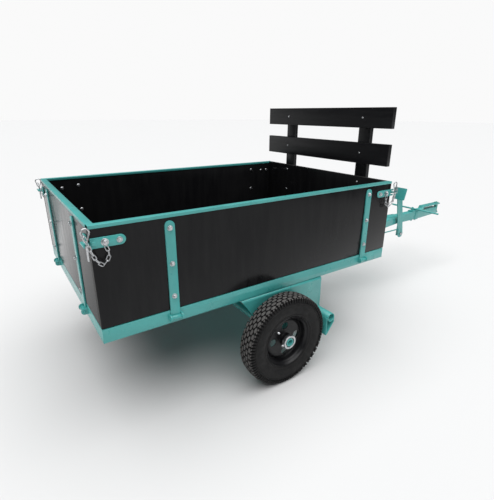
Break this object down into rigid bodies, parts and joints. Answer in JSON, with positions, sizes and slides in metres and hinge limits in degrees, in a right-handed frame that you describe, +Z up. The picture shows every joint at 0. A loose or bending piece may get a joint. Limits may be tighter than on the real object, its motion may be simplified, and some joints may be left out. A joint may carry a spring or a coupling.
{
  "type": "tipping garden cart",
  "caption": "Tipping tow-behind trailer cart: panelled box with drop sides and tailgate, corner latches, front load rest, A-shaped drawbar with pin hitch and foot release.",
  "frame": {"origin": "middle of the cart's overall length and width, on the ground the tyres stand on", "axes": "+X forwards to the hitch, +Y to the cart's left, +Z up"},
  "size_m": [2.5902, 1.104, 1.049],
  "materials": {
    "green_paint": "gloss green-blue enamel on steel",
    "film_plywood": "glossy black phenolic film on plywood",
    "rest_board": "satin black stained board",
    "black_steel": "satin black paint on steel",
    "zinc": "bright zinc plate",
    "hitch_pin_steel": "worn green-blue enamel on steel",
    "tyre_rubber": "matt black rubber with a block tread"
  },
  "bodies": {
    "chassis": {"undercarriage": "green_paint", "axle_tube": "green_paint", "step_beam": "green_paint", "drawbar": "green_paint", "hitch_jaw": "green_paint", "hitch_bolt": "green_paint", "pull_bar": "green_paint", "lever_pivot_bolt": "zinc", "axle_collar_right": "zinc", "axle_collar_left": "zinc"},
    "box": {"box_frame": "green_paint", "floor_panel": "film_plywood", "front_panel": "film_plywood", "rest_post_left": "black_steel", "rest_post_right": "black_steel", "rest_board_upper": "rest_board", "rest_board_lower": "rest_board", "tip_hinge_pin": "zinc", "side_hinge_pin_rear_right": "green_paint", "side_hinge_pin_front_right": "green_paint", "side_hinge_pin_rear_left": "green_paint", "side_hinge_pin_front_left": "green_paint", "tailgate_hinge_pin_right": "green_paint", "tailgate_hinge_pin_left": "green_paint", "latch_lug_front_right": "green_paint", "latch_lug_front_left": "green_paint"},
    "tailgate": {"tailgate_panel": "film_plywood", "top_cap_rear": "green_paint", "tailgate_strap_right": "green_paint", "tailgate_strap_left": "green_paint", "latch_lug_rear_right": "green_paint", "latch_lug_rear_left": "green_paint"},
    "side_right": {"side_panel_right": "film_plywood", "top_cap_right": "green_paint", "side_strap_rear_right": "green_paint", "side_strap_front_right": "green_paint", "latch_plate_rear_right": "green_paint", "latch_plate_front_right": "green_paint", "latch_chain_rear_right": "zinc", "latch_chain_front_right": "zinc"},
    "wheel_right": {"tyre_right": "tyre_rubber", "wheel_disc_right": "black_steel"},
    "clip_rear_right": {"latch_clip_rear_right": "zinc"},
    "clip_front_right": {"latch_clip_front_right": "zinc"},
    "side_left": {"side_panel_left": "film_plywood", "top_cap_left": "green_paint", "side_strap_rear_left": "green_paint", "side_strap_front_left": "green_paint", "latch_plate_rear_left": "green_paint", "latch_plate_front_left": "green_paint", "latch_chain_rear_left": "zinc", "latch_chain_front_left": "zinc"},
    "wheel_left": {"tyre_left": "tyre_rubber", "wheel_disc_left": "black_steel"},
    "clip_rear_left": {"latch_clip_rear_left": "zinc"},
    "clip_front_left": {"latch_clip_front_left": "zinc"},
    "foot_lever": {"foot_lever": "green_paint"},
    "release_rod": {"release_rod": "green_paint"},
    "latch_hook": {"latch_hook": "green_paint"},
    "hitch_pin": {"hitch_pin": "hitch_pin_steel"}
  },
  "joints": [
    {"name": "wheel_right_spin", "type": "hinge", "parent": "chassis", "child": "wheel_right", "pos_m": [-0.6219, -0.5105, 0.187], "axis": [0, 1, 0], "continuous": true},
    {"name": "wheel_left_spin", "type": "hinge", "parent": "chassis", "child": "wheel_left", "pos_m": [-0.6219, 0.5105, 0.187], "axis": [0, 1, 0], "continuous": true},
    {"name": "box_tip", "type": "hinge", "parent": "chassis", "child": "box", "pos_m": [-0.8009, 0, 0.358], "axis": [0, -1, 0], "range_deg": [0, 45]},
    {"name": "side_right_drop", "type": "hinge", "parent": "box", "child": "side_right", "pos_m": [-0.5839, -0.463, 0.394], "axis": [1, 0, 0], "range_deg": [0, 100]},
    {"name": "side_left_drop", "type": "hinge", "parent": "box", "child": "side_left", "pos_m": [-0.6229, 0.463, 0.394], "axis": [-1, 0, 0], "range_deg": [0, 100]},
    {"name": "tailgate_drop", "type": "hinge", "parent": "box", "child": "tailgate", "pos_m": [-1.2809, 0, 0.394], "axis": [0, -1, 0], "range_deg": [0, 175]},
    {"name": "clip_rear_right_lift", "type": "slide", "parent": "side_right", "child": "clip_rear_right", "axis": [0, 0, 1], "range_m": [0, 0.06]},
    {"name": "clip_front_right_lift", "type": "slide", "parent": "side_right", "child": "clip_front_right", "axis": [0, 0, 1], "range_m": [0, 0.06]},
    {"name": "clip_rear_left_lift", "type": "slide", "parent": "side_left", "child": "clip_rear_left", "axis": [0, 0, 1], "range_m": [0, 0.06]},
    {"name": "clip_front_left_lift", "type": "slide", "parent": "side_left", "child": "clip_front_left", "axis": [0, 0, 1], "range_m": [0, 0.06]},
    {"name": "pedal_swing", "type": "hinge", "parent": "chassis", "child": "foot_lever", "pos_m": [0.7711, -0.059, 0.256], "axis": [0, 1, 0], "range_deg": [0, 20]},
    {"name": "hook_swing", "type": "hinge", "parent": "chassis", "child": "latch_hook", "pos_m": [0.0641, -0.059, 0.256], "axis": [0, 1, 0], "range_deg": [0, 20.5]},
    {"name": "rod_slide", "type": "slide", "parent": "chassis", "child": "release_rod", "axis": [0.8553, 0, 0.5181], "range_m": [0, 0.0152]},
    {"name": "hitch_pin_lift", "type": "slide", "parent": "chassis", "child": "hitch_pin", "axis": [0, 0, 1], "range_m": [0, 0.075]}
  ],
  "couplings": [
    {"joint": "hook_swing", "follows": "pedal_swing", "ratio": 1},
    {"joint": "rod_slide", "follows": "pedal_swing", "m_per_rad": 0.0423}
  ]
}
